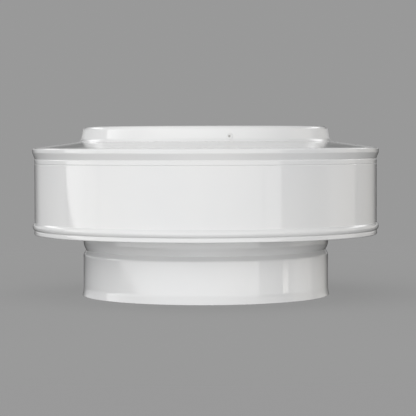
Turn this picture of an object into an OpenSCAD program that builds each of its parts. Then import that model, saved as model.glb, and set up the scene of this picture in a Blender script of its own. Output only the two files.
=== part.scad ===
// Static round exhaust vent head in white coated sheet aluminium.
// A short tail pipe slips over a round duct. Three straps inside the pipe carry a deck ring,
// the deck ring carries the wind band round it, and a raised cap closes the middle.
// Air leaves upward through the pipe and downward through the gap inside the wind band.
// Origin: centre of the tail pipe's bottom rim, +Z up. Millimetres.

/* [Sheet] */
// Thickness of the spun sheet
sheet_t = 1.0; // [0.8:0.1:1.1]
// Play between two nested sheets
nest_gap = 0.05; // [0.03:0.01:0.1]

/* [Tail pipe] */
// Inside diameter, a slip fit over a 304.8 mm duct
pipe_id = 306; // [305:0.5:307]
// Height of the pipe's top edge
pipe_top_z = 119; // [116:1:122]
// How far the bottom rim flares outward
flare_out = 1.5; // [1.0:0.1:2.5]
// Height of the flared stretch
flare_h = 11; // [8:1:14]
// Height of the stop groove's apex
groove_z = 57.1; // [54:0.1:60]
// Depth of the stop groove
groove_depth = 3.3; // [2.5:0.1:4]
// Rise of the groove's curved upper flank
groove_above = 10; // [8:0.5:12]
// Drop of the groove's straight lower flank
groove_below = 7.2; // [6:0.2:9]

/* [Wind band] */
// Outside diameter of the band's wall
band_d = 430; // [429:0.2:432]
// Height of the band's bottom edge
band_bottom_z = 76.4; // [75.5:0.1:77]
// Height of the seam between the band and the deck's skirt
seam_z = 165.2; // [163:0.1:167]
// Height of the crease between the lip and the bead
crease_z = 82; // [81.8:0.1:83]
// Height of the stiffening bead above the crease
bead_h = 9.4; // [8:0.2:11]
// How far the bead stands proud of the wall
bead_out = 2.5; // [2:0.1:3]
// How far the lip stands proud of the wall
lip_out = 0.4; // [0.3:0.1:0.8]

/* [Deck ring] */
// How far the nose stands proud of the wall
nose_out = 2.6; // [2.4:0.1:2.9]
// Height of the sharp corner that the nose's top would have
deck_edge_z = 184.35; // [184:0.05:184.6]
// Height of the sharp corner that the nose's bottom would have
nose_low_z = 178.9; // [178:0.1:179.5]
// How far the neck below the nose steps in from the wall
neck_in = 0.6; // [0.4:0.1:0.8]
// Height of the neck
neck_z = 170.9; // [170.7:0.1:171.2]
// Height where the skirt starts to step in to the neck
skirt_top_z = 169.9; // [169.6:0.1:170]
// Slope of the deck, in degrees
deck_slope = 7.75; // [7:0.05:8]
// Height of the upstand's top edge
upstand_top_z = 204; // [203.5:0.1:204.5]

/* [Cap] */
// Diameter over the cap's rim
cap_rim_d = 317.6; // [317:0.1:318]
// Gap between the cap's rim and the deck
cap_lift = 0.85; // [0.7:0.05:1]
// Lean of the cap's side from vertical, in degrees
cap_lean = 11; // [10:0.5:12]
// Radius of the cap's side where the rivets sit
cap_side_r = 156; // [155.9:0.1:156.3]
// Height of the cap's top edge
cap_top_z = 211; // [210:0.5:213]
// Rise of the crown above the top edge
cap_crown = 1.2; // [0.6:0.1:2]
// Radius of the rounded top edge
cap_corner_r = 5; // [4:0.5:6]

/* [Straps] */
// Width of a strap round the pipe
strap_w = 25; // [20:1:30]
// Thickness of a strap
strap_t = 2; // [1.5:0.1:2.2]
// Height of a strap's lower end
strap_bottom_z = 84; // [82:1:86]
// Direction of the first strap, from +X, in degrees
strap_angle = -79.7; // [-90:0.1:-60]

/* [Rivets] */
// Shank diameter of a blind rivet
rivet_d = 4.8; // [4:0.1:4.8]
// Diameter of the domed head
rivet_head_d = 9.4; // [8:0.1:9.6]
// Height of the domed head
rivet_head_h = 1.5; // [1.2:0.1:1.7]
// Diameter of the mandrel left in the rivet
mandrel_d = 2.7; // [2.2:0.1:2.8]
// Height of the rivets through the cap
cap_rivet_z = 198.7; // [198.5:0.1:199]
// Height of the lower rivets through the pipe and the straps
low_rivet_z = 94; // [92:0.5:96]
// Height of the upper rivets, through the screen's clamp band too
high_rivet_z = 112; // [111.5:0.5:112.5]

/* [Screen] */
// Diameter of a screen wire
wire_d = 1.2; // [1:0.1:1.3]
// Upright wires, a multiple of three so that none meets a rivet
upright_count = 75; // [60, 66, 69, 75]
// Round wires
round_count = 5; // [4, 5]
// Height of the lowest round wire
first_round_z = 125; // [123:0.5:127]
// Spacing of the round wires
round_pitch = 12.8; // [12:0.1:12.9]
// Height of the clamp band's lower edge
clamp_z = 105.5; // [104:0.5:106]
// Height of the clamp band
clamp_h = 13; // [12:0.5:14]
// Height of the top band
top_band_h = 8; // [6:0.5:8]

/* [Hidden] */

$fn = 96;
white = "#e6e6e4";
mill = "#b9bcbe";
wire_grey = "#a7abad";
sealant = "#d7d6d0";

strap_count = 3;
rim_land = 0.5;
pipe_ir = pipe_id / 2;
pipe_r = pipe_ir + sheet_t;
band_r = band_d / 2;
neck_r = band_r - neck_in;
nose_r = band_r + nose_out;
nose_low_fillet = 4;
nose_top_fillet = 2.2;
lip_r = band_r + lip_out;
hem_r = sheet_t + 0.4;
lip_top_h = 2;
lip_top_r = (lip_top_h * lip_top_h + lip_out * lip_out) / (2 * lip_out);
cap_rim_r = cap_rim_d / 2;
nested = sheet_t + nest_gap;
contact_gap = 0.02;

// Straight lines of the section: the deck's slope, and the cap's side with the upstand in it.
function deck_z(r) = deck_edge_z + (nose_r - r) * tan(deck_slope);
function cap_side(z) = cap_side_r - (z - cap_rivet_z) * tan(cap_lean);
function upstand_side(z) = cap_side(z) - (nested + 0.05) / cos(cap_lean);

// Where the deck's slope meets the upstand's side
corner_r = upstand_side(deck_z(cap_side_r));
corner_z = deck_z(corner_r);
corner_fillet = 2;

cap_rim_z = deck_z(cap_rim_r) + cap_lift;
cap_bend_z = cap_rim_z + 2.3;
cap_bend_fillet = 7;

strap_r = pipe_ir - contact_gap;
strap_kink_z = 188;
strap_lean_z = 195.5;
strap_top_z = upstand_top_z - 0.6;

upright_r = pipe_r + contact_gap + wire_d / 2;
wrap_r = upright_r + wire_d / 2 + contact_gap;
screen_bottom_z = clamp_z + 0.5;
screen_top_z = 190.5;
rivet_hole_play = 0.05;

// ---- Section helpers: a path of [radius, height] points, walked with the metal on its left ----

function unit(v) = v / norm(v);
function left(a, b) = let (d = unit(b - a)) [-d[1], d[0]];
function corner_normal(path, i) =
    let (
        last = len(path) - 1,
        before = i == 0 ? left(path[0], path[1]) : left(path[i - 1], path[i]),
        after = i == last ? left(path[last - 1], path[last]) : left(path[i], path[i + 1])
    )
    (before + after) / (1 + before * after);
function shifted(path, d) = [for (i = [0:len(path) - 1]) path[i] + d * corner_normal(path, i)];
function reversed(path) = [for (i = [len(path) - 1:-1:0]) path[i]];
function sheet(path, t) = concat(path, reversed(shifted(path, t)));
function arc(centre, r, from, to, steps) =
    [for (i = [0:steps]) let (a = from + (to - from) * i / steps) centre + r * [cos(a), sin(a)]];

// Points that round the corner b between a and c with radius r
function rounded(a, b, c, r, steps) =
    let (
        u = unit(a - b),
        v = unit(c - b),
        half = acos(u * v) / 2,
        centre = b + unit(u + v) * r / sin(half),
        start = b + u * r / tan(half) - centre,
        end = b + v * r / tan(half) - centre,
        from = atan2(start[1], start[0]),
        turn = atan2(end[1], end[0]) - from,
        sweep = turn > 180 ? turn - 360 : turn < -180 ? turn + 360 : turn
    )
    arc(centre, r, from, from + sweep, steps);

// Arc that bulges outward by out, from height low to height high at radius r
function bulge(r, low, high, out, steps) =
    let (
        half = (high - low) / 2,
        radius = (half * half + out * out) / (2 * out),
        reach = asin(half / radius)
    )
    arc([r + out - radius, (low + high) / 2], radius, -reach, reach, steps);

module revolve(path) {
    rotate_extrude($fn = 192) polygon(path);
}

module at_strap(i) {
    rotate([0, 0, strap_angle + i * 360 / strap_count]) children();
}

// ---- Outer lines of the sheets, from the bottom up ----

function flare_line() = concat(
    [[pipe_r + flare_out, 0]],
    [for (i = [0:5])
        let (s = i / 5) [pipe_r + flare_out * (1 - s) * (1 - s), rim_land + (flare_h - rim_land) * s]]
);

function groove_line() = concat(
    [[pipe_r, groove_z - groove_below]],
    [for (i = [0:6])
        let (s = i / 6) [pipe_r - groove_depth * (1 - s) * (1 - s), groove_z + groove_above * s]]
);

function pipe_line() = concat(flare_line(), groove_line(), [[pipe_r, pipe_top_z]]);

skirt_line = [[band_r, seam_z], [band_r, skirt_top_z], [neck_r, neck_z]];
nose_low = [nose_r, nose_low_z];
deck_edge = [nose_r, deck_edge_z];
deck_foot = [corner_r, corner_z];
upstand_top = [upstand_side(upstand_top_z), upstand_top_z];

function nose_line() = concat(
    rounded([neck_r, neck_z], nose_low, deck_edge, nose_low_fillet, 4),
    rounded(nose_low, deck_edge, deck_foot, nose_top_fillet, 8)
);

function foot_line() = rounded(deck_edge, deck_foot, upstand_top, corner_fillet, 4);

function deck_line() = concat(skirt_line, nose_line(), foot_line(), [upstand_top]);

// Lip: the hem turned up inside, round the bottom edge, up the outside and in to the crease
function lip_line() = concat(
    [[lip_r - 2 * hem_r, crease_z - 1.4]],
    arc([lip_r - hem_r, band_bottom_z + hem_r], hem_r, 180, 360, 8),
    arc([lip_r - lip_top_r, crease_z - lip_top_h], lip_top_r, 0, asin(lip_top_h / lip_top_r), 5)
);

// The wall's top steps in behind the skirt and follows it up towards the nose, rolled together.
function tongue_line() =
    let (joint = shifted(concat(skirt_line, [nose_line()[0]]), nested))
    [[joint[0][0], seam_z + 0.7], joint[1], joint[2], joint[3]];

function band_line() = concat(
    lip_line(),
    [for (i = [1:10]) bulge(band_r, crease_z, crease_z + bead_h, bead_out, 10)[i]],
    [[band_r, seam_z - 0.6]],
    tongue_line()
);

function cap_line() =
    let (
        rim = [cap_rim_r, cap_rim_z],
        bend = [cap_side(cap_bend_z), cap_bend_z],
        shoulder = [cap_side(cap_top_z), cap_top_z],
        centre = [0.01, cap_top_z + cap_crown]
    )
    concat(
        [rim],
        rounded(rim, bend, shoulder, cap_bend_fillet, 4),
        rounded(bend, shoulder, centre, cap_corner_r, 10)
    );

// Outer face of a strap: up the inside of the pipe, then out and up the inside of the upstand
function strap_line() = [
    [strap_r, strap_bottom_z],
    [strap_r, strap_kink_z],
    [upstand_side(strap_lean_z) - (nested + contact_gap) / cos(cap_lean), strap_lean_z],
    [upstand_side(strap_top_z) - (nested + contact_gap) / cos(cap_lean), strap_top_z]
];

// ---- Rivets: local +X points out of the head, x = 0 is the face under the head ----

module rivet_body(grip) {
    head_sphere_r =
        (rivet_head_d * rivet_head_d / 4 + rivet_head_h * rivet_head_h) / (2 * rivet_head_h);
    head_turn = asin(rivet_head_d / 2 / head_sphere_r);
    core_r = mandrel_d / 2;
    core_turn = asin((core_r + 0.15) / head_sphere_r);
    head_centre = [0, rivet_head_h - head_sphere_r];
    bulb_r = rivet_d / 2 + 1;
    rotate([0, 90, 0])
        rotate_extrude($fn = 48)
            polygon(concat(
                [[core_r, -grip - 3], [bulb_r - 0.6, -grip - 3], [bulb_r, -grip - 2.2],
                    [bulb_r, -grip - 0.8], [rivet_d / 2, -grip - 0.02], [rivet_d / 2, 0]],
                arc(head_centre, head_sphere_r, 90 - head_turn, 90 - core_turn, 6),
                [[core_r, rivet_head_h - 0.5]]
            ));
}

module rivet_mandrel(grip) {
    core_r = mandrel_d / 2 - contact_gap;
    rotate([0, 90, 0])
        rotate_extrude($fn = 48)
            polygon([
                [0, -grip - 5], [core_r + 0.7, -grip - 5], [core_r + 1, -grip - 4.4],
                [core_r + 0.6, -grip - 3.02], [core_r, -grip - 3.02],
                [core_r, rivet_head_h - 0.75], [core_r - 0.4, rivet_head_h - 0.5],
                [0, rivet_head_h - 0.62]
            ]);
}

// Places a part that points along +X at radius r and height z, tilted up by tilt degrees
module on_wall(r, z, tilt) {
    for (i = [0:strap_count - 1])
        at_strap(i) translate([r, 0, z]) rotate([0, -tilt, 0]) children();
}

module at_cap_rivets() {
    on_wall(cap_side(cap_rivet_z) + contact_gap, cap_rivet_z, cap_lean) children();
}

module at_low_rivets() {
    on_wall(pipe_r + contact_gap, low_rivet_z, 0) children();
}

module at_high_rivets() {
    on_wall(wrap_r + sheet_t + contact_gap, high_rivet_z, 0) children();
}

// Drill for a rivet's shank, through everything between its head and its bulb
module drill(grip) {
    rotate([0, 90, 0])
        translate([0, 0, -grip - 1.5])
            cylinder(d = rivet_d + 2 * rivet_hole_play, h = grip + 2.5, $fn = 32);
}

cap_grip = 2 * nested + strap_t + 0.1;
low_grip = sheet_t + strap_t + 2 * contact_gap;
high_grip = low_grip + wire_d + sheet_t + 3 * contact_gap;

// ---- Sub-parts ----

module tail_pipe() {
    color(white)
        difference() {
            revolve(sheet(pipe_line(), sheet_t));
            at_low_rivets() drill(low_grip);
            at_high_rivets() drill(high_grip);
        }
}

module wind_band() {
    color(white) revolve(sheet(band_line(), sheet_t));
}

module deck_ring() {
    color(white)
        difference() {
            revolve(sheet(deck_line(), sheet_t));
            at_cap_rivets() drill(cap_grip);
        }
}

module top_cap() {
    inner = shifted(concat(cap_line(), [[0, cap_top_z + cap_crown]]), sheet_t);
    color(white)
        difference() {
            revolve(concat(
                cap_line(),
                [[0, cap_top_z + cap_crown], [0, inner[len(inner) - 1][1]]],
                [for (i = [len(inner) - 2:-1:0]) inner[i]]
            ));
            at_cap_rivets() drill(cap_grip);
        }
}

// Bead of sealant in the pocket between the cap's flare and the foot of the upstand
module cap_seal() {
    foot = shifted(foot_line(), -nest_gap);
    flare = shifted(cap_line(), nested);
    color(sealant)
        revolve(concat([for (i = [1:4]) foot[i]], [flare[1], 0.65 * flare[0] + 0.35 * flare[1]]));
}

module strap(i) {
    half = strap_w / pipe_ir * 90 / PI;
    color(mill)
        difference() {
            at_strap(i)
                rotate([0, 0, -half])
                    rotate_extrude(angle = 2 * half, $fn = 192)
                        polygon(sheet(strap_line(), strap_t));
            at_cap_rivets() drill(cap_grip);
            at_low_rivets() drill(low_grip);
            at_high_rivets() drill(high_grip);
        }
}

module strap_1() { strap(0); }
module strap_2() { strap(1); }
module strap_3() { strap(2); }

module cap_rivets() {
    color(white) at_cap_rivets() rivet_body(cap_grip);
}

module cap_rivet_mandrels() {
    color(mill) at_cap_rivets() rivet_mandrel(cap_grip);
}

module strap_rivets() {
    color(white) at_low_rivets() rivet_body(low_grip);
}

module strap_rivet_mandrels() {
    color(mill) at_low_rivets() rivet_mandrel(low_grip);
}

module screen_rivets() {
    color(white) at_high_rivets() rivet_body(high_grip);
}

module screen_rivet_mandrels() {
    color(mill) at_high_rivets() rivet_mandrel(high_grip);
}

module screen_uprights() {
    step = 360 / upright_count;
    color(wire_grey)
        for (i = [0:upright_count - 1])
            rotate([0, 0, strap_angle + (i + 0.5) * step])
                translate([upright_r, 0, screen_bottom_z])
                    cylinder(d = wire_d, h = screen_top_z - screen_bottom_z, $fn = 16);
}

module screen_rounds() {
    color(wire_grey)
        for (i = [0:round_count - 1])
            translate([0, 0, first_round_z + i * round_pitch])
                rotate_extrude($fn = 192)
                    translate([wrap_r + wire_d / 2, 0]) circle(d = wire_d, $fn = 16);
}

module band_hoop(low, high) {
    revolve([
        [wrap_r, low], [wrap_r + sheet_t, low], [wrap_r + sheet_t, high], [wrap_r, high]
    ]);
}

module screen_clamp_band() {
    color(mill)
        difference() {
            band_hoop(clamp_z, clamp_z + clamp_h);
            at_high_rivets() drill(high_grip);
        }
}

module screen_top_band() {
    color(mill) band_hoop(screen_top_z - top_band_h, screen_top_z);
}

tail_pipe();
wind_band();
deck_ring();
top_cap();
cap_seal();
strap_1();
strap_2();
strap_3();
cap_rivets();
cap_rivet_mandrels();
strap_rivets();
strap_rivet_mandrels();
screen_rivets();
screen_rivet_mandrels();
screen_uprights();
screen_rounds();
screen_clamp_band();
screen_top_band();
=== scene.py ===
"""Looks of a round static exhaust vent head in glossy white coated sheet metal.

Metres, +Z up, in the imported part's own frame. The spun shells are lathed afresh from their sections,
with real bend radii and the faint waves of worked sheet. The wire screen, straps and rivets are drawn
afresh too. The shells and straps have no rivet holes: the rivets pass through whole sheet.
"""

import math

import bpy
import numpy as np
from mathutils import Matrix, Vector


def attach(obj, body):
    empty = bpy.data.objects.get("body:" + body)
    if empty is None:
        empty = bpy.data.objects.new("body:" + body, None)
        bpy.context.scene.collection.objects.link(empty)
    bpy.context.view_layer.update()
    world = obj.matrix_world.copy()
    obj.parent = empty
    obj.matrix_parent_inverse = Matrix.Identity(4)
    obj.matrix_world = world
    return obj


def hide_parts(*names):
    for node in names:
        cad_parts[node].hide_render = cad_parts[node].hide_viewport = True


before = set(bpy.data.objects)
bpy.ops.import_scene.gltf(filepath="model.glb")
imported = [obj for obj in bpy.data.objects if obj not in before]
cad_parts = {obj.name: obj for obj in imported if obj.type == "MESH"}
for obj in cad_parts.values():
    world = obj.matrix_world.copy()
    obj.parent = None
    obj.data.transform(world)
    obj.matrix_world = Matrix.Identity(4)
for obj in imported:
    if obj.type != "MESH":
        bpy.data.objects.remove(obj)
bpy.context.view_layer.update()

MM = 0.001
BODY = "root"

# ---- Driving dimensions of the sections, in millimetres ----
# They are the part's, but GROOVE_BELOW (7.2 in the part) and CAP_LIFT (0.85 in the part) are changed
# for the look: at this lift the inner edge of the cap's rim sinks about 0.5 mm into the deck

SHEET = 1.0
PLAY = 0.05
CUT_EDGE = 0.3

PIPE_R = 154.0
PIPE_TOP = 119.0
FLARE_OUT, FLARE_H, RIM_LAND = 1.5, 11.0, 0.5
GROOVE_Z, GROOVE_DEPTH, GROOVE_ABOVE, GROOVE_BELOW = 57.1, 3.3, 10.0, 5.8

BAND_R = 215.0
BAND_BOTTOM, CREASE_Z, BEAD_H, BEAD_OUT = 76.4, 82.0, 9.4, 2.5
LIP_OUT, LIP_TOP_H, HEM_R = 0.4, 2.0, 1.4
SEAM_Z, SKIRT_TOP, NECK_R, NECK_Z = 165.2, 169.9, 214.4, 170.9

NOSE_R, NOSE_LOW_Z, NOSE_TOP_Z = 217.6, 178.9, 184.35
NOSE_LOW_FILLET, NOSE_TOP_FILLET = 4.0, 2.2
DECK_SLOPE = math.tan(math.radians(7.75))
UPSTAND_TOP = 204.0

CAP_LEAN = math.radians(11.0)
CAP_SIDE_R, CAP_RIVET_Z = 156.0, 198.7
CAP_RIM_R, CAP_LIFT = 158.8, 0.15
CAP_TOP, CAP_CROWN, CAP_CORNER = 211.0, 1.2, 5.0

STRAP_COUNT = 3
STRAP_ANGLE = math.radians(-79.7)
STRAP_W, STRAP_T, STRAP_BOTTOM, STRAP_KINK, STRAP_LEAN_Z = 25.0, 2.0, 84.0, 188.0, 195.5
RIVET_D, RIVET_HEAD_D, RIVET_HEAD_H, MANDREL_D, MOUTH_FLARE = 4.8, 9.4, 1.5, 2.7, 0.9
LOW_RIVET_Z, HIGH_RIVET_Z = 94.0, 112.0

WIRE_D = 1.2
UPRIGHTS = 75
ROUNDS, FIRST_ROUND_Z, ROUND_PITCH = 5, 125.0, 12.8
SCREEN_BOTTOM, SCREEN_TOP = 106.0, 190.5

LATHE_STEPS, WIRE_STEPS = 480, 300
RIVET_SIDES, WIRE_SIDES, WELD_SIDES = 40, 10, 8
ON_AXIS = 1e-6


def deck_z(r):
    return NOSE_TOP_Z + (NOSE_R - r) * DECK_SLOPE


def cap_side(z):
    return CAP_SIDE_R - (z - CAP_RIVET_Z) * math.tan(CAP_LEAN)


def upstand_side(z):
    return cap_side(z) - (SHEET + 2 * PLAY) / math.cos(CAP_LEAN)


# ---- Section work: paths of (radius, height), walked with the metal on the left ----


def arc(centre, r, start, end, steps):
    """Points of an arc, with the angles in degrees."""
    turn = np.radians(np.linspace(start, end, steps + 1))
    return [(centre[0] + r * math.cos(a), centre[1] + r * math.sin(a)) for a in turn]


def bulge(r, low, high, out, steps):
    """An arc that bulges outward by out between two heights at radius r."""
    half = (high - low) / 2
    radius = (half * half + out * out) / (2 * out)
    reach = math.degrees(math.asin(half / radius))
    return arc((r + out - radius, (low + high) / 2), radius, -reach, reach, steps)


def offset(path, d):
    """The path moved to its left by d, with mitred corners."""
    p = np.array(path, float)
    along = np.diff(p, axis=0)
    along /= np.linalg.norm(along, axis=1)[:, None]
    left = np.stack([-along[:, 1], along[:, 0]], 1)
    before = np.vstack([left[:1], left])
    after = np.vstack([left, left[-1:]])
    normal = (before + after) / (1 + (before * after).sum(1))[:, None]
    return [tuple(q) for q in p + d * normal]


def fillet(a, b, c, r, step=12):
    """The corner b between a and c, rounded with radius r in steps of at most step degrees."""
    a, b, c = (np.array(q, float) for q in (a, b, c))
    u, v = (a - b) / np.linalg.norm(a - b), (c - b) / np.linalg.norm(c - b)
    half = math.acos(max(-1.0, min(1.0, float(u @ v)))) / 2
    turn = 180 - 2 * math.degrees(half)
    if turn < 1:
        return [tuple(b)]
    r = min(r, 0.45 * math.tan(half) * min(np.linalg.norm(a - b), np.linalg.norm(c - b)))
    middle = (u + v) / np.linalg.norm(u + v)
    centre = b + middle * r / math.sin(half)
    start, end = b + u * r / math.tan(half) - centre, b + v * r / math.tan(half) - centre
    steps = max(1, math.ceil(turn / step))
    out = []
    for i in range(steps + 1):
        t = i / steps
        q = start * (1 - t) + end * t
        out.append(tuple(centre + q / np.linalg.norm(q) * r))
    return out


def rounded(path, radii):
    """The open path with a fillet at each corner that radii gives, as {index: radius}."""
    out = []
    for i, q in enumerate(path):
        if i in radii:
            out += fillet(path[i - 1], q, path[i + 1], radii[i])
        else:
            out.append(q)
    return out


def spaced(loop, longest, near=0.35):
    """The closed loop with long stretches divided, and a point close to each end of them."""
    out = []
    for i, q in enumerate(loop):
        p, n = np.array(q, float), np.array(loop[(i + 1) % len(loop)], float)
        length = np.linalg.norm(n - p)
        out.append(tuple(p))
        if length > 4 * near:
            count = max(1, math.ceil((length - 2 * near) / longest))
            for t in np.linspace(near / length, 1 - near / length, count + 1):
                out.append(tuple(p + (n - p) * t))
    return out


def sheet_loop(path, thickness, longest=6.0):
    """The closed section of a sheet with this outer line, its cut edges eased."""
    loop = list(path) + offset(path, thickness)[::-1]
    n = len(path)
    out = []
    for i, q in enumerate(loop):
        if i in (0, n - 1, n, 2 * n - 1):
            out += fillet(loop[i - 1], q, loop[(i + 1) % (2 * n)], CUT_EDGE, 45)
        else:
            out.append(q)
    return spaced(out, longest)


# ---- Meshes ----


def waves(seed, size, finest, coarsest=3):
    """A function of azimuth (radians) that gives a faint periodic wave of about this size."""
    rng = np.random.default_rng(seed)
    orders = np.arange(coarsest, finest + 1)
    phase = rng.uniform(0, 2 * math.pi, len(orders))
    weight = rng.normal(0, 1, len(orders)) / orders**0.8
    weight *= size / math.sqrt((weight**2).sum() / 2)

    def wave(angle):
        return (weight[None, :] * np.cos(np.outer(angle, orders) + phase[None, :])).sum(1)

    return wave


def mesh_object(name, verts, faces):
    mesh = bpy.data.meshes.new(name)
    mesh.from_pydata([tuple(v) for v in verts], [], faces)
    mesh.validate()
    mesh.shade_smooth()
    obj = bpy.data.objects.new(name, mesh)
    bpy.context.scene.collection.objects.link(obj)
    return obj


def lathe(name, loop, wave):
    """Turns a closed section (mm) round Z with a wave in its radius, kept within the nose's radius.

    Points on the axis become one vertex each.
    """
    steps = LATHE_STEPS
    loop = np.array(loop, float)
    angle = np.arange(steps) / steps * 2 * math.pi
    swell = wave(angle)
    verts, rows = [], []
    for r, z in loop:
        if r < ON_AXIS:
            rows.append([len(verts)] * steps)
            verts.append((0, 0, z * MM))
            continue
        rows.append(list(range(len(verts), len(verts) + steps)))
        ring = np.minimum(r + swell * min(1.0, r / 100), NOSE_R)
        verts += list(zip(ring * np.cos(angle) * MM, ring * np.sin(angle) * MM, np.full(steps, z * MM)))
    faces = []
    for a, b in zip(rows, rows[1:] + rows[:1]):
        for j in range(steps):
            k = (j + 1) % steps
            face = [a[j], a[k], b[k], b[j]]
            face = [v for i, v in enumerate(face) if v != face[i - 1]]
            if len(face) > 2:
                faces.append(face)
    return mesh_object(name, verts, faces)


def piece(obj, material, slot, *nodes):
    obj.data.materials.append(material)
    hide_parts(*nodes)
    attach(obj, BODY)


# ---- Materials ----


def new_material(name):
    material = bpy.data.materials.new(name)
    material.use_nodes = True
    tree = material.node_tree
    return material, tree, tree.nodes["Principled BSDF"]


def node(tree, kind, inputs=None, **settings):
    """A node with its settings, and its inputs given by name as values or as sockets."""
    made = tree.nodes.new(kind)
    for key, value in settings.items():
        setattr(made, key, value)
    for key, value in (inputs or {}).items():
        if isinstance(value, bpy.types.NodeSocket):
            tree.links.new(value, made.inputs[key])
        else:
            made.inputs[key].default_value = value
    return made


def coat_material():
    """Stoved white gloss on spun aluminium: faint orange peel, spinning rings, painted shade in the
    hollows and a few nibs.
    """
    material, tree, shader = new_material("white_coat")
    place = node(tree, "ShaderNodeTexCoord").outputs["Object"]

    def noise(scale, detail, vector=place):
        inputs = {"Vector": vector, "Scale": scale, "Detail": detail}
        return node(tree, "ShaderNodeTexNoise", inputs).outputs["Fac"]

    def combined(operation, a, b):
        return node(tree, "ShaderNodeMath", {0: a, 1: b}, operation=operation).outputs[0]

    def mapped(value, low, high, to_low, to_high):
        limits = {"Value": value, "From Min": low, "From Max": high, "To Min": to_low, "To Max": to_high}
        return node(tree, "ShaderNodeMapRange", limits).outputs["Result"]

    def mixed(amount, under, over):
        mix = node(tree, "ShaderNodeMix", {0: amount}, data_type="RGBA")
        for socket, colour in ((mix.inputs[6], under), (mix.inputs[7], over)):
            if isinstance(colour, bpy.types.NodeSocket):
                tree.links.new(colour, socket)
            else:
                socket.default_value = (*colour, 1)
        return mix.outputs[2]

    # Colour: a little cool and warm drift, then painted shade in the hollows (from ambient occlusion,
    # broken up by noise) and a film of dust on top
    drift = mapped(noise(9.0, 3.0), 0.3, 0.7, 0.0, 1.0)
    colour = mixed(drift, (0.775, 0.779, 0.783), (0.802, 0.802, 0.798))
    # Painted shade: where ambient occlusion finds hollows, creases and seams, the base colour is darkened
    # towards a grey (0.42, 0.41, 0.39), in patches set by a fine noise
    hollow = node(tree, "ShaderNodeAmbientOcclusion", {"Distance": 0.006}, samples=8).outputs["AO"]
    painted_crease_shade = combined("MULTIPLY", mapped(hollow, 0.25, 0.75, 1.0, 0.0), noise(120.0, 4.0))
    colour = mixed(mapped(painted_crease_shade, 0.1, 0.6, 0.0, 0.18), colour, (0.42, 0.41, 0.39))
    normal = node(tree, "ShaderNodeNewGeometry").outputs["Normal"]
    up = node(tree, "ShaderNodeSeparateXYZ", {0: normal}).outputs[2]
    film = combined("MULTIPLY", mapped(up, 0.75, 1.0, 0.0, 1.0), noise(45.0, 5.0))
    colour = mixed(mapped(film, 0.35, 0.7, 0.0, 0.12), colour, (0.60, 0.585, 0.56))
    tree.links.new(colour, shader.inputs["Base Color"])

    # Gloss: wiped smears and the film of dust make it a little duller in places
    gloss = mapped(noise(38.0, 4.0), 0.35, 0.75, 0.035, 0.085)
    dusty = combined("ADD", gloss, mapped(film, 0.3, 0.7, 0.0, 0.12))
    tree.links.new(dusty, shader.inputs["Roughness"])

    # Relief: spinning rings by height and radius, orange peel, and dust nibs under the coat
    x, y, z = node(tree, "ShaderNodeSeparateXYZ", {0: place}).outputs
    flat = node(tree, "ShaderNodeCombineXYZ", {0: x, 1: y})
    radius = node(tree, "ShaderNodeVectorMath", {0: flat.outputs[0]}, operation="LENGTH").outputs["Value"]
    ring_place = node(tree, "ShaderNodeCombineXYZ", {0: radius, 1: z}).outputs[0]
    rings = noise(260.0, 3.0, ring_place)
    ring_bump = node(tree, "ShaderNodeBump", {"Height": rings, "Strength": 0.02, "Distance": 0.0004})
    peel_bump = node(
        tree, "ShaderNodeBump",
        {"Height": noise(520.0, 1.0), "Strength": 0.012, "Distance": 0.0003,
         "Normal": ring_bump.outputs[0]},
    )
    nibs = node(tree, "ShaderNodeTexVoronoi", {"Vector": place, "Scale": 75.0}).outputs["Distance"]
    nib_bump = node(
        tree, "ShaderNodeBump",
        {"Height": mapped(nibs, 0.0, 0.03, 1.0, 0.0), "Strength": 0.25, "Distance": 0.0002,
         "Normal": peel_bump.outputs[0]},
    )
    tree.links.new(nib_bump.outputs[0], shader.inputs["Normal"])
    shader.inputs["IOR"].default_value = 1.5
    return material


def metal(name, colours, grain_scale, roughness, bump_size, stretch):
    """Bare metal: patchy tone, and a grain that is drawn out along the height by stretch."""
    material, tree, shader = new_material(name)
    place = node(tree, "ShaderNodeTexCoord").outputs["Object"]
    squeeze = (1.0, 1.0, 1.0 / stretch)
    drawn = node(tree, "ShaderNodeMapping", {"Vector": place, "Scale": squeeze}).outputs[0]
    patches = node(tree, "ShaderNodeTexNoise", {"Vector": place, "Scale": grain_scale / 6, "Detail": 4.0})
    ramp = node(tree, "ShaderNodeValToRGB", {"Fac": patches.outputs["Fac"]})
    for element, position, colour in zip(ramp.color_ramp.elements, (0.3, 0.7), colours):
        element.position = position
        element.color = (*colour, 1)
    tree.links.new(ramp.outputs["Color"], shader.inputs["Base Color"])
    fine = {"Vector": drawn, "Scale": grain_scale, "Detail": 3.0}
    grain = node(tree, "ShaderNodeTexNoise", fine).outputs["Fac"]
    low, high = roughness
    dull = {"Value": grain, "From Min": 0.3, "From Max": 0.7, "To Min": low, "To Max": high}
    tree.links.new(node(tree, "ShaderNodeMapRange", dull).outputs["Result"], shader.inputs["Roughness"])
    bump = node(tree, "ShaderNodeBump", {"Height": grain, "Strength": 0.15, "Distance": bump_size})
    tree.links.new(bump.outputs["Normal"], shader.inputs["Normal"])
    shader.inputs["Metallic"].default_value = 1.0
    return material


def mill_material():
    """Mill-finish aluminium with its rolling grain."""
    tones = (0.66, 0.67, 0.68), (0.78, 0.785, 0.79)
    return metal("mill_aluminium", tones, 1400.0, (0.24, 0.42), 0.0001, 12.0)


def wire_material():
    """Galvanised wire, gone dull and a little white in patches."""
    tones = (0.42, 0.43, 0.45), (0.66, 0.67, 0.67)
    return metal("screen_wire", tones, 1800.0, (0.35, 0.62), 0.0002, 2.0)


def mandrel_material():
    """Plated steel, dulled where the mandrel snapped."""
    tones = (0.40, 0.39, 0.38), (0.60, 0.59, 0.57)
    return metal("mandrel_steel", tones, 3000.0, (0.4, 0.6), 0.0002, 1.0)


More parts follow.
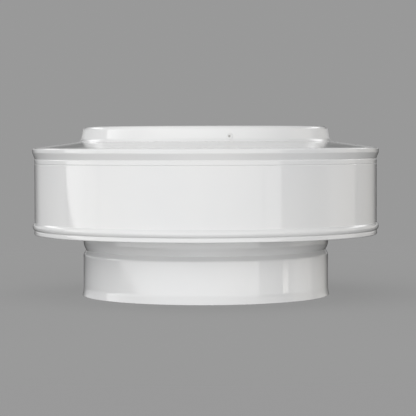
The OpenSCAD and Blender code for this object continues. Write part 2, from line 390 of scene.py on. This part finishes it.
def sealant_material():
    """Cured sealant with a lumpy surface."""
    material, tree, shader = new_material("sealant")
    place = node(tree, "ShaderNodeTexCoord").outputs["Object"]
    lumps = node(tree, "ShaderNodeTexNoise", {"Vector": place, "Scale": 300.0, "Detail": 2.0})
    relief = {"Height": lumps.outputs["Fac"], "Strength": 0.4, "Distance": 0.0004}
    tree.links.new(node(tree, "ShaderNodeBump", relief).outputs["Normal"], shader.inputs["Normal"])
    shader.inputs["Base Color"].default_value = (0.7, 0.69, 0.65, 1)
    shader.inputs["Roughness"].default_value = 0.55
    return material


coat = coat_material()
mill = mill_material()
wire = wire_material()
sealant = sealant_material()
steel = mandrel_material()


# ---- Sections of the four spun shells ----


def pipe_section():
    """Tail pipe: flared rim, then the stop groove with a soft upper flank, then the plain top."""
    flare = [
        (PIPE_R + FLARE_OUT * (1 - s) ** 2, RIM_LAND + (FLARE_H - RIM_LAND) * s)
        for s in np.linspace(0, 1, 11)
    ]
    flank = [
        (PIPE_R - GROOVE_DEPTH * (1 - s) ** 2, GROOVE_Z + GROOVE_ABOVE * s)
        for s in np.linspace(0, 1, 13)
    ]
    path = [(PIPE_R + FLARE_OUT, 0.0)] + flare + [(PIPE_R, GROOVE_Z - GROOVE_BELOW)] + flank
    path.append((PIPE_R, PIPE_TOP))
    shoulder = len(flare) + 1
    return sheet_loop(rounded(path, {shoulder: 5.0, shoulder + 1: 0.5}), SHEET)


def skirt_path():
    return [(BAND_R, SEAM_Z), (BAND_R, SKIRT_TOP), (NECK_R, NECK_Z), (NOSE_R, NOSE_LOW_Z)]


def deck_section():
    """Skirt, neck, slanted cove, nose, sloping deck, and the upstand that stands inside the cap."""
    corner_r = upstand_side(deck_z(CAP_SIDE_R))
    path = skirt_path() + [
        (NOSE_R, NOSE_TOP_Z),
        (corner_r, deck_z(corner_r)),
        (upstand_side(UPSTAND_TOP), UPSTAND_TOP),
    ]
    bends = {1: 1.3, 2: 1.0, 3: NOSE_LOW_FILLET, 4: NOSE_TOP_FILLET, 5: 2.0}
    return sheet_loop(rounded(path, bends), SHEET)


def band_section():
    """Drum wall: hemmed lip, crease, rolled bead, plain wall, and the tongue inside the skirt."""
    lip_r = BAND_R + LIP_OUT
    lip_top_r = (LIP_TOP_H**2 + LIP_OUT**2) / (2 * LIP_OUT)
    turn = math.degrees(math.asin(LIP_TOP_H / lip_top_r))
    bead = bulge(BAND_R, CREASE_Z, CREASE_Z + BEAD_H, BEAD_OUT, 18)
    lip = [(lip_r - 2 * HEM_R, CREASE_Z - 1.4)]
    lip += arc((lip_r - HEM_R, BAND_BOTTOM + HEM_R), HEM_R, 180, 360, 14)
    lip += arc((lip_r - lip_top_r, CREASE_Z - LIP_TOP_H), lip_top_r, 0, turn, 5)[:-1]
    skirt = skirt_path()
    skirt[3] = fillet(skirt[2], skirt[3], (NOSE_R, NOSE_TOP_Z), NOSE_LOW_FILLET)[0]
    tongue = offset(skirt, SHEET + PLAY)
    tongue[0] = (tongue[0][0], SEAM_Z + 0.7)
    path = lip + bead + [(BAND_R, SEAM_Z - 0.6)] + tongue
    crease = len(lip)
    bead_top = crease + len(bead) - 1
    bends = {crease: 0.25, bead_top: 1.2, bead_top + 1: 1.0, bead_top + 2: 0.4}
    return sheet_loop(rounded(path, bends), SHEET)


def cap_section():
    """Raised pan: thin rim, side that leans in, rounded edge, and a faintly crowned top."""
    rim_z = deck_z(CAP_RIM_R) + CAP_LIFT
    bend_z = rim_z + 2.3
    path = [
        (CAP_RIM_R, rim_z),
        (cap_side(bend_z), bend_z),
        (cap_side(CAP_TOP), CAP_TOP),
        (0.0, CAP_TOP + CAP_CROWN),
    ]
    outer = rounded(path, {1: 7.0, 2: CAP_CORNER})
    inner = offset(outer, SHEET)
    inner[-1] = (0.0, CAP_TOP + CAP_CROWN - SHEET)
    loop = outer + inner[::-1]
    rim = fillet(loop[-2], loop[-1], loop[0], CUT_EDGE, 45)
    rim += fillet(loop[-1], loop[0], loop[1], CUT_EDGE, 45)
    return spaced(rim + loop[1:-1], 10.0)


# The wall and the deck ring share one wave, so that it doesn't change how they nest
SHELLS = {
    "tail_pipe": (pipe_section(), waves(3, 0.05, 40)),
    "wind_band": (band_section(), waves(5, 0.05, 48)),
    "deck_ring": (deck_section(), waves(5, 0.05, 48)),
    "top_cap": (cap_section(), waves(9, 0.04, 30)),
}
for part, (section, wave) in SHELLS.items():
    piece(lathe(f"{part}_shell", section, wave), coat, "white_coat", part)


# ---- Sealant, hoops and straps ----

WIRE_R = WIRE_D / 2
GAP = 0.02
UPRIGHT_R = PIPE_R + GAP + WIRE_R
WRAP_R = UPRIGHT_R + WIRE_R + GAP
CLAMP_Z, CLAMP_H, TOP_BAND_H = 105.5, 13.0, 8.0
SHEARED_EDGE = 0.35


def seal_section():
    """The bead of sealant in the pocket behind the cap's rim, a little hollow where it was tooled."""
    foot_r = upstand_side(deck_z(CAP_SIDE_R))
    corner = (foot_r, deck_z(foot_r))
    foot = fillet((NOSE_R, NOSE_TOP_Z), corner, (upstand_side(UPSTAND_TOP), UPSTAND_TOP), 2.0, 8)
    foot = offset(foot, -2 * PLAY)[len(foot) // 4:]
    tip_r = foot[0][0] + 0.55
    tip = (tip_r, deck_z(tip_r) + 0.1)
    top = (foot[-1][0] + 0.35, foot[-1][1] - 0.1)
    middle = ((tip[0] + top[0]) / 2 - 0.12, (tip[1] + top[1]) / 2 - 0.12)
    return [tip] + foot + [top, middle]


def hoop_section(low, high):
    corners = [(WRAP_R, low), (WRAP_R + SHEET, low), (WRAP_R + SHEET, high), (WRAP_R, high)]
    loop = []
    for i, q in enumerate(corners):
        loop += fillet(corners[i - 1], q, corners[(i + 1) % 4], CUT_EDGE, 45)
    return spaced(loop, 4.0)


def strap_path():
    straight = PIPE_R - SHEET - GAP
    lean = (SHEET + PLAY + GAP) / math.cos(CAP_LEAN)
    top = UPSTAND_TOP - 0.6
    path = [
        (straight, STRAP_BOTTOM),
        (straight, STRAP_KINK),
        (upstand_side(STRAP_LEAN_Z) - lean, STRAP_LEAN_Z),
        (upstand_side(top) - lean, top),
    ]
    return rounded(path, {1: 3.0, 2: 3.0})


def strap(index):
    """A flat strap with sheared edges, rolled to the pipe and joggled out to the upstand."""
    path = strap_path()
    loop = np.array(list(path) + offset(path, STRAP_T)[::-1])
    half = STRAP_W / 2 / (PIPE_R - SHEET)
    middle = STRAP_ANGLE + index * 2 * math.pi / STRAP_COUNT
    angles = np.linspace(middle - half, middle + half, 13)
    verts = [
        (r * math.cos(a) * MM, r * math.sin(a) * MM, z * MM) for a in angles for r, z in loop
    ]
    n = len(loop)
    faces = [tuple(range(n))[::-1], tuple(range(len(verts) - n, len(verts)))]
    for i in range(len(angles) - 1):
        for j in range(n):
            k = (j + 1) % n
            faces.append((i * n + j, i * n + k, (i + 1) * n + k, (i + 1) * n + j))
    obj = mesh_object(f"strap_{index + 1}_flat", verts, faces)
    obj.data.set_sharp_from_angle(angle=math.radians(40))
    bevel = obj.modifiers.new("sheared_edges", "BEVEL")
    bevel.width = SHEARED_EDGE * MM
    bevel.segments = 2
    bevel.limit_method = "ANGLE"
    bevel.angle_limit = math.radians(40)
    bevel.harden_normals = True
    return obj


bead = lathe("cap_seal_bead", seal_section(), waves(21, 0.05, 90, 12))
piece(bead, sealant, "sealant", "cap_seal")
clamp = lathe("screen_clamp_hoop", hoop_section(CLAMP_Z, CLAMP_Z + CLAMP_H), waves(13, 0.008, 30))
piece(clamp, mill, "mill_aluminium", "screen_clamp_band")
top_section = hoop_section(SCREEN_TOP - TOP_BAND_H, SCREEN_TOP)
top_hoop = lathe("screen_top_hoop", top_section, waves(17, 0.008, 30))
piece(top_hoop, mill, "mill_aluminium", "screen_top_band")
for index in range(STRAP_COUNT):
    piece(strap(index), mill, "mill_aluminium", f"strap_{index + 1}")


# ---- Blind rivets: turned about local +X, with x = 0 at the face under the head ----


def turned(profile, steps, place):
    """Verts and faces of a closed profile of (radius, x) turned about X, put in place by a matrix."""
    verts, faces, rows = [], [], []
    for r, x in profile:
        if r < ON_AXIS:
            rows.append([len(verts)] * steps)
            verts.append(place @ Vector((x * MM, 0, 0)))
            continue
        rows.append(list(range(len(verts), len(verts) + steps)))
        for a in np.arange(steps) / steps * 2 * math.pi:
            verts.append(place @ Vector((x * MM, r * math.cos(a) * MM, r * math.sin(a) * MM)))
    pairs = list(zip(rows, rows[1:] + rows[:1]))
    if profile[0][0] < ON_AXIS and profile[-1][0] < ON_AXIS:
        pairs = pairs[:-1]
    for a, b in pairs:
        for j in range(steps):
            k = (j + 1) % steps
            face = [a[j], a[k], b[k], b[j]]
            face = [v for i, v in enumerate(face) if v != face[i - 1]]
            if len(face) > 2:
                faces.append(face)
    return verts, faces


def rivet_profile(grip):
    """The set rivet: domed head with an eased rim and a dished mouth, shank, and the bulb behind."""
    dome = (RIVET_HEAD_D**2 / 4 + RIVET_HEAD_H**2) / (2 * RIVET_HEAD_H)
    core, bulb = MANDREL_D / 2, RIVET_D / 2 + 1
    edge = math.degrees(math.asin((RIVET_HEAD_D / 2 - 0.15) / dome))
    mouth = math.degrees(math.asin((core + MOUTH_FLARE) / dome))
    tail = [
        (core, -grip - 3), (bulb - 0.7, -grip - 3), (bulb - 0.2, -grip - 2.7), (bulb, -grip - 2.1),
        (bulb - 0.1, -grip - 1.2), (bulb - 0.5, -grip - 0.5), (RIVET_D / 2, -grip - 0.05),
        (RIVET_D / 2, -0.02),
    ]
    head_r = RIVET_HEAD_D / 2
    rim = [(head_r - 0.25, 0.0), (head_r - 0.02, 0.08), (head_r, 0.16)]
    head = [(q[1], q[0]) for q in arc((RIVET_HEAD_H - dome, 0), dome, edge, mouth, 9)]
    lip_x = head[-1][1]
    lip_r = core + MOUTH_FLARE
    dish = [(lip_r - 0.12, lip_x - 0.03), (core + 0.15, lip_x - 0.38), (core, lip_x - 0.6)]
    return tail + rim + head + dish


def mandrel_profile(grip):
    """What is left of the mandrel: its head in the bulb, and the snapped neck in the head's mouth."""
    core = MANDREL_D / 2 - GAP
    end = RIVET_HEAD_H - 0.72
    return [
        (0, -grip - 5), (core + 0.5, -grip - 5), (core + 0.9, -grip - 4.8), (core + 1, -grip - 4.4),
        (core + 0.6, -grip - 3.02), (core, -grip - 3.0), (core, end - 0.14), (core - 0.15, end),
        (core - 0.5, end + 0.1), (core - 0.8, end - 0.05), (0, end - 0.1),
    ]


def rivet_places(r, z, tilt):
    """A matrix for each strap's rivet at this radius and height (mm), pointing out and up by tilt."""
    for i in range(STRAP_COUNT):
        turn = Matrix.Rotation(STRAP_ANGLE + i * 2 * math.pi / STRAP_COUNT, 4, "Z")
        yield turn @ Matrix.Translation((r * MM, 0, z * MM)) @ Matrix.Rotation(-tilt, 4, "Y")


def turned_group(name, profile, places):
    verts, faces = [], []
    for place in places:
        v, f = turned(profile, RIVET_SIDES, place)
        faces += [[i + len(verts) for i in face] for face in f]
        verts += v
    obj = mesh_object(name, verts, faces)
    obj.data.set_sharp_from_angle(angle=math.radians(50))
    return obj


CAP_GRIP = 2 * (SHEET + PLAY) + STRAP_T + 0.1
LOW_GRIP = SHEET + STRAP_T + 2 * GAP
HIGH_GRIP = LOW_GRIP + WIRE_D + SHEET + 3 * GAP
RIVET_ROWS = {
    "cap": (CAP_GRIP, cap_side(CAP_RIVET_Z) + GAP, CAP_RIVET_Z, CAP_LEAN),
    "strap": (LOW_GRIP, PIPE_R + GAP, LOW_RIVET_Z, 0.0),
    "screen": (HIGH_GRIP, WRAP_R + SHEET + GAP, HIGH_RIVET_Z, 0.0),
}
for row, (grip, r, z, tilt) in RIVET_ROWS.items():
    places = list(rivet_places(r, z, tilt))
    bodies = turned_group(f"{row}_rivet_bodies", rivet_profile(grip), places)
    piece(bodies, coat, "white_coat", f"{row}_rivets")
    pins = turned_group(f"{row}_rivet_pins", mandrel_profile(grip), places)
    piece(pins, steel, "mill_aluminium", f"{row}_rivet_mandrels")


# ---- Bird screen: welded wires, bent by hand round the pipe ----


def tube(points, radius, sides, closed):
    """Verts and faces of a round wire along points (metres), with flat ends unless it is closed."""
    p = np.array(points, float)
    n = len(p)
    if closed:
        along = np.roll(p, -1, 0) - np.roll(p, 1, 0)
    else:
        along = np.gradient(p, axis=0)
    along /= np.linalg.norm(along, axis=1)[:, None]
    out = p * (1, 1, 0)
    out -= (out * along).sum(1)[:, None] * along
    out /= np.linalg.norm(out, axis=1)[:, None]
    side = np.cross(along, out)
    turn = np.arange(sides) / sides * 2 * math.pi
    ring = out[:, None, :] * np.cos(turn)[None, :, None] + side[:, None, :] * np.sin(turn)[None, :, None]
    verts = (p[:, None, :] + ring * radius).reshape(-1, 3)
    faces = []
    for i in range(n if closed else n - 1):
        a, b = i * sides, (i + 1) % n * sides
        faces += [(a + j, a + (j + 1) % sides, b + (j + 1) % sides, b + j) for j in range(sides)]
    if not closed:
        faces += [tuple(range(sides))[::-1], tuple(range((n - 1) * sides, n * sides))]
    return list(map(tuple, verts)), faces


def joined(name, parts):
    """One object from several pairs of verts and faces."""
    verts, faces = [], []
    for v, f in parts:
        faces += [[i + len(verts) for i in face] for face in f]
        verts += v
    return mesh_object(name, verts, faces)


def upright_angles():
    return STRAP_ANGLE + (np.arange(UPRIGHTS) + 0.5) * 2 * math.pi / UPRIGHTS


def upright_wires():
    """Uprights that stray a little from plumb between the clamp and the top hoop."""
    rng = np.random.default_rng(31)
    heights = np.linspace(SCREEN_BOTTOM, SCREEN_TOP, 9)
    for a in upright_angles():
        stray = rng.normal(0, 0.0006, len(heights))
        stray[:2] = stray[-2:] = 0
        yield tube(
            [(UPRIGHT_R * math.cos(a + t) * MM, UPRIGHT_R * math.sin(a + t) * MM, z * MM)
             for t, z in zip(stray, heights)],
            WIRE_R * MM, WIRE_SIDES, False,
        )


def round_wires():
    """Round wires, each sagging a fraction of a millimetre between welds."""
    rng = np.random.default_rng(37)
    turn = np.arange(WIRE_STEPS) / WIRE_STEPS * 2 * math.pi
    for i in range(ROUNDS):
        z = FIRST_ROUND_Z + i * ROUND_PITCH + 0.12 * waves(int(rng.integers(1000)), 1.0, 24)(turn)
        r = WRAP_R + WIRE_R
        points = np.stack([r * np.cos(turn), r * np.sin(turn), z], 1) * MM
        yield tube(points, WIRE_R * MM, WIRE_SIDES, True)


def weld_spots():
    """A small flattened nugget where each upright meets each round wire."""
    middle = (UPRIGHT_R + WRAP_R + WIRE_R) / 2
    shape = [(0, -0.75), (0.45, -0.6), (0.62, 0), (0.45, 0.6), (0, 0.75)]
    for a in upright_angles():
        for i in range(ROUNDS):
            z = FIRST_ROUND_Z + i * ROUND_PITCH
            place = Matrix.Translation((middle * math.cos(a) * MM, middle * math.sin(a) * MM, z * MM))
            place = place @ Matrix.Rotation(a, 4, "Z") @ Matrix.Diagonal((0.7, 1.25, 1.25, 1))
            yield turned(shape, WELD_SIDES, place)


piece(joined("screen_upright_wires", upright_wires()), wire, "screen_wire", "screen_uprights")
rounds = joined("screen_round_wires", list(round_wires()) + list(weld_spots()))
piece(rounds, wire, "screen_wire", "screen_rounds")


# ---- Floor, light and camera ----

FLOOR_SOLID, FLOOR_GONE = 0.5, 1.4
FLOOR_TONE = (0.12, 0.12, 0.12)
FLOOR_GLOW = 0.235
BACKDROP = 0.319


def floor_object():
    """A pale round floor that fades into the backdrop's own grey, and isn't seen from below."""
    material = bpy.data.materials.new("floor")
    material.use_nodes = True
    tree = material.node_tree
    tree.nodes.clear()
    place = node(tree, "ShaderNodeTexCoord").outputs["Object"]
    reach = node(tree, "ShaderNodeVectorMath", {0: place}, operation="LENGTH").outputs["Value"]
    fade = node(
        tree, "ShaderNodeMapRange",
        {"Value": reach, "From Min": FLOOR_SOLID, "From Max": FLOOR_GONE, "To Min": 0.0, "To Max": 1.0},
        interpolation_type="SMOOTHERSTEP",
    ).outputs["Result"]
    under = node(tree, "ShaderNodeNewGeometry").outputs["Backfacing"]
    gone = node(tree, "ShaderNodeMath", {0: fade, 1: under}, operation="MAXIMUM").outputs[0]
    diffuse = node(tree, "ShaderNodeBsdfDiffuse", {"Color": (*FLOOR_TONE, 1)}).outputs[0]
    glow = node(tree, "ShaderNodeEmission", {"Color": (1, 1, 1, 1), "Strength": FLOOR_GLOW}).outputs[0]
    matte = node(tree, "ShaderNodeAddShader", {0: diffuse, 1: glow}).outputs[0]
    clear = node(tree, "ShaderNodeBsdfTransparent").outputs[0]
    mixed = node(tree, "ShaderNodeMixShader", {0: gone, 1: matte, 2: clear}).outputs[0]
    out = node(tree, "ShaderNodeOutputMaterial")
    tree.links.new(mixed, out.inputs["Surface"])
    rings, steps = [0.0, 0.3, 0.6, 1.0, FLOOR_GONE], 64
    verts = [(0, 0, 0)]
    for r in rings[1:]:
        verts += [(r * math.cos(a), r * math.sin(a), 0) for a in np.arange(steps) / steps * 2 * math.pi]
    faces = [(0, 1 + j, 1 + (j + 1) % steps) for j in range(steps)]
    for ring in range(len(rings) - 2):
        a, b = 1 + ring * steps, 1 + (ring + 1) * steps
        faces += [(a + j, b + j, b + (j + 1) % steps, a + (j + 1) % steps) for j in range(steps)]
    floor = mesh_object("floor", verts, faces)
    floor.data.materials.append(material)
    floor.visible_diffuse = floor.visible_glossy = floor.visible_shadow = False


class Studio:
    """The soft studio as a world: light panels placed by azimuth from the front and elevation."""

    def __init__(self):
        world = bpy.data.worlds.new("studio")
        bpy.context.scene.world = world
        world.use_nodes = True
        self.tree = world.node_tree
        self.tree.nodes.clear()
        way = node(self.tree, "ShaderNodeTexCoord").outputs["Generated"]
        split = node(self.tree, "ShaderNodeSeparateXYZ", {0: way})
        x, y, z = split.outputs
        back = self.math("MULTIPLY", y, -1.0)
        self.azimuth = self.math("DEGREES", self.math("ARCTAN2", x, back))
        self.elevation = self.math("DEGREES", self.math("ARCSINE", z))
        self.total = None

    def math(self, operation, *values):
        made = self.tree.nodes.new("ShaderNodeMath")
        made.operation = operation
        for i, value in enumerate(values):
            if isinstance(value, bpy.types.NodeSocket):
                self.tree.links.new(value, made.inputs[i])
            else:
                made.inputs[i].default_value = value
        return made.outputs[0]

    def ramp(self, value, start, end):
        """0 below start and 1 above end, or the other way round if end is below start."""
        low, high, a, b = (start, end, 0.0, 1.0) if start < end else (end, start, 1.0, 0.0)
        return node(
            self.tree, "ShaderNodeMapRange",
            {"Value": value, "From Min": low, "From Max": high, "To Min": a, "To Max": b},
            interpolation_type="SMOOTHSTEP",
        ).outputs["Result"]

    def band(self, value, rise_from, rise_to, fall_from, fall_to):
        """1 between rise_to and fall_from, 0 outside rise_from and fall_to."""
        rise = self.ramp(value, rise_from, rise_to)
        fall = self.ramp(value, fall_to, fall_from)
        return self.math("MULTIPLY", rise, fall)

    def add(self, strength, colour, *masks):
        """Adds light of this strength where all the masks are 1."""
        value = strength
        for mask in masks:
            value = self.math("MULTIPLY", mask, value)
        tint = {0: colour, "Scale": value}
        out = node(self.tree, "ShaderNodeVectorMath", tint, operation="SCALE").outputs[0]
        if self.total is not None:
            both = {0: self.total, 1: out}
            out = node(self.tree, "ShaderNodeVectorMath", both, operation="ADD").outputs[0]
        self.total = out

    def finish(self, backdrop):
        """Camera rays see the plain backdrop, and everything else sees the panels."""
        light = node(self.tree, "ShaderNodeBackground", {"Color": self.total})
        plain = node(self.tree, "ShaderNodeBackground", {"Color": (backdrop, backdrop, backdrop, 1)})
        seen = node(self.tree, "ShaderNodeLightPath").outputs["Is Camera Ray"]
        mixed = node(self.tree, "ShaderNodeMixShader", {0: seen, 1: light.outputs[0], 2: plain.outputs[0]})
        out = node(self.tree, "ShaderNodeOutputWorld")
        self.tree.links.new(mixed.outputs[0], out.inputs["Surface"])


NEUTRAL, WARM = (1.0, 1.0, 1.0), (1.0, 0.96, 0.9)
ALL_ROUND = (-181, -180, 180, 181)

# Each panel: strength, colour, then the azimuths and the elevations where it fades in and out
PANELS = {
    "room": (0.38, NEUTRAL, ALL_ROUND, (8, 25, 90, 91)),
    "overhead": (0.45, NEUTRAL, (-140, -90, 80, 130), (50, 70, 90, 91)),
    "front_wall": (1.72, NEUTRAL, (-95, -20, 0, 110), (0, 5, 10, 48)),
    "high_left_bank": (0.45, NEUTRAL, (-150, -110, -60, -20), (15, 30, 60, 75)),
    "left_far": (0.45, NEUTRAL, (-160, -140, -108, -104), (-4, -3, 10, 20)),
    "right_corner": (0.60, WARM, (80, 95, 115, 119), (-6.5, -5, 10, 30)),
    "right_far": (0.55, WARM, (70, 95, 135, 162), (-6.5, -5, 10, 30)),
    "ground_near": (1.50, NEUTRAL, (-60, -20, 5, 50), (-35, -20, -9, -6)),
    "ground_under": (0.75, NEUTRAL, (-45, -15, 10, 45), (-91, -90, -40, -25)),
    "warm_lamp": (2.60, WARM, (75, 77, 82, 84), (-5.6, -5.2, -4.4, -4.1)),
}
# Panels seen mirrored in the drum and the pipe: the far edge of the left one leans
MIRRORED = {
    "left_bank": (1.80, NEUTRAL, (-181, -180, -95, -60), (-6.5, -6, 14, 28)),
    "left_bank_edge": (0.80, NEUTRAL, (-181, -180, -98, -84), (-6.5, -6, 14, 28)),
    "left_gap": (-0.70, NEUTRAL, (-75.5, -74.5, -73, -72), (-6.5, -6, 1, 5)),
    "horizon_front": (1.80, NEUTRAL, (-110, -60, 48.5, 51.5), (-7, -5, 1, 5)),
    "right_gap": (-0.60, NEUTRAL, (36.5, 38, 38.5, 40), (-6.5, -6, 1, 5)),
    "low_front": (1.30, NEUTRAL, (-100, -35, 45, 150), (-9, -6, -4, -3)),
}
LEAN_FROM, LEAN_CURVE = -105.0, 2.2
# Panels behind, by azimuth either side of the front: they show in grazing reflections only
BEHIND = {
    "back_light": (2.40, NEUTRAL, (112, 125, 145, 160), (18, 22, 27, 32)),
    "back_low": (0.35, NEUTRAL, (120, 145, 180, 181), (0, 2, 4, 8)),
}


def light_studio():
    """Builds the studio's panels. past is 0 left of the leaning edge and 1 right of it."""
    studio = Studio()
    az, el = studio.azimuth, studio.elevation
    aside = studio.math("ABSOLUTE", az)
    below = studio.math("MINIMUM", studio.math("ADD", el, 1.0), 0.0)
    lean = studio.math("MULTIPLY", studio.math("MULTIPLY", below, below), LEAN_CURVE)
    past = studio.ramp(studio.math("SUBTRACT", az, lean), LEAN_FROM - 1, LEAN_FROM + 1)
    for panels, around, masks in ((PANELS, az, []), (MIRRORED, az, [past]), (BEHIND, aside, [])):
        for strength, colour, azimuths, elevations in panels.values():
            across = studio.band(around, *azimuths)
            studio.add(strength, colour, across, studio.band(el, *elevations), *masks)
    studio.finish(BACKDROP)


CAMERA_DISTANCE, CAMERA_HEIGHT = 2.184, 0.1942
CAMERA_LENS, SENSOR = 149.7, 36.0
CAMERA_PITCH, CAMERA_YAW, CAMERA_ROLL = -2.25, -0.077, -0.166


def make_camera():
    camera = bpy.data.objects.new("camera", bpy.data.cameras.new("camera"))
    bpy.context.scene.collection.objects.link(camera)
    camera.data.lens = CAMERA_LENS
    camera.data.sensor_width = SENSOR
    camera.location = (0, -CAMERA_DISTANCE, CAMERA_HEIGHT)
    aim = Matrix.Rotation(math.radians(CAMERA_YAW), 4, "Z")
    aim = aim @ Matrix.Rotation(math.radians(90 + CAMERA_PITCH), 4, "X")
    aim = aim @ Matrix.Rotation(math.radians(CAMERA_ROLL), 4, "Z")
    camera.rotation_euler = aim.to_euler()
    bpy.context.scene.camera = camera


make_camera()
light_studio()
floor_object()

scene = bpy.context.scene
scene.view_settings.view_transform = "Standard"
scene.view_settings.look = "None"
scene.cycles.use_denoising = True
